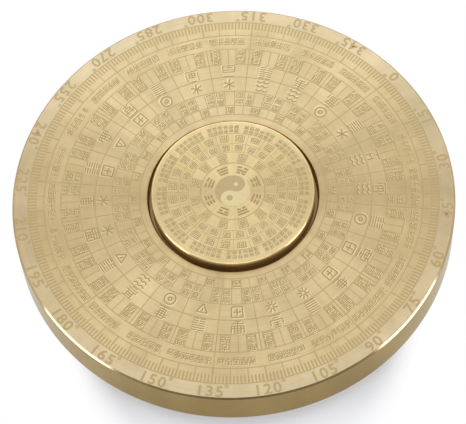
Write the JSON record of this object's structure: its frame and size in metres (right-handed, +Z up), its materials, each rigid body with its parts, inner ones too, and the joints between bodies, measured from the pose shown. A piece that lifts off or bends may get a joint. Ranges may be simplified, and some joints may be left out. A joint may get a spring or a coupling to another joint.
{
  "type": "feng shui compass",
  "caption": "Round desk compass: a thick engraved brass dial with degree and mark rings turns on a ball bearing round a raised centre cap with trigrams, over a small fixed foot.",
  "frame": {"origin": "on the table, under the middle of the foot pad", "axes": "+Z up along the spin axis, -Y towards the picture's viewer, +X to the viewer's right"},
  "size_m": [0.098, 0.098, 0.0168],
  "materials": {
    "dial_brass": "satin, turned in fine circles, rings and marks engraved darker",
    "cap_brass": "satin, turned in fine circles, bright chamfer",
    "base_brass": "satin, turned",
    "bearing_steel": "ground and polished",
    "sheet_steel": "pressed sheet, dull",
    "screw_steel": "black oxide",
    "rubber_pad": "matt, fine grain"
  },
  "bodies": {
    "base": {"base_pad": "rubber_pad", "base_plate": "base_brass", "clamp_screw": "screw_steel", "centre_cap": "cap_brass", "bearing_inner_ring": "bearing_steel"},
    "turntable": {"outer_dial": "dial_brass", "bearing_outer_ring": "bearing_steel", "shield_upper": "sheet_steel", "shield_lower": "sheet_steel"},
    "cage": {"cage_upper": "sheet_steel", "cage_lower": "sheet_steel", "cage_rivet_1": "sheet_steel", "cage_rivet_2": "sheet_steel", "cage_rivet_3": "sheet_steel", "cage_rivet_4": "sheet_steel", "cage_rivet_5": "sheet_steel", "cage_rivet_6": "sheet_steel", "cage_rivet_7": "sheet_steel"},
    "ball_1": {"ball_1": "bearing_steel"},
    "ball_2": {"ball_2": "bearing_steel"},
    "ball_3": {"ball_3": "bearing_steel"},
    "ball_4": {"ball_4": "bearing_steel"},
    "ball_5": {"ball_5": "bearing_steel"},
    "ball_6": {"ball_6": "bearing_steel"},
    "ball_7": {"ball_7": "bearing_steel"}
  },
  "joints": [
    {"name": "dial_spin", "type": "hinge", "parent": "base", "child": "turntable", "pos_m": [0, 0, 0.0091], "axis": [0, 0, 1], "continuous": true},
    {"name": "cage_spin", "type": "hinge", "parent": "base", "child": "cage", "pos_m": [0, 0, 0.0091], "axis": [0, 0, 1], "continuous": true},
    {"name": "ball_1_spin", "type": "hinge", "parent": "cage", "child": "ball_1", "pos_m": [0.0075, 0, 0.0091], "axis": [0, 0, 1], "continuous": true},
    {"name": "ball_2_spin", "type": "hinge", "parent": "cage", "child": "ball_2", "pos_m": [0.00468, 0.00586, 0.0091], "axis": [0, 0, 1], "continuous": true},
    {"name": "ball_3_spin", "type": "hinge", "parent": "cage", "child": "ball_3", "pos_m": [-0.00167, 0.00731, 0.0091], "axis": [0, 0, 1], "continuous": true},
    {"name": "ball_4_spin", "type": "hinge", "parent": "cage", "child": "ball_4", "pos_m": [-0.00676, 0.00325, 0.0091], "axis": [0, 0, 1], "continuous": true},
    {"name": "ball_5_spin", "type": "hinge", "parent": "cage", "child": "ball_5", "pos_m": [-0.00676, -0.00325, 0.0091], "axis": [0, 0, 1], "continuous": true},
    {"name": "ball_6_spin", "type": "hinge", "parent": "cage", "child": "ball_6", "pos_m": [-0.00167, -0.00731, 0.0091], "axis": [0, 0, 1], "continuous": true},
    {"name": "ball_7_spin", "type": "hinge", "parent": "cage", "child": "ball_7", "pos_m": [0.00468, -0.00586, 0.0091], "axis": [0, 0, 1], "continuous": true}
  ],
  "couplings": [
    {"joint": "cage_spin", "follows": "dial_spin", "ratio": 0.63228},
    {"joint": "ball_1_spin", "follows": "dial_spin", "ratio": 1.7576},
    {"joint": "ball_2_spin", "follows": "dial_spin", "ratio": 1.7576},
    {"joint": "ball_3_spin", "follows": "dial_spin", "ratio": 1.7576},
    {"joint": "ball_4_spin", "follows": "dial_spin", "ratio": 1.7576},
    {"joint": "ball_5_spin", "follows": "dial_spin", "ratio": 1.7576},
    {"joint": "ball_6_spin", "follows": "dial_spin", "ratio": 1.7576},
    {"joint": "ball_7_spin", "follows": "dial_spin", "ratio": 1.7576}
  ]
}
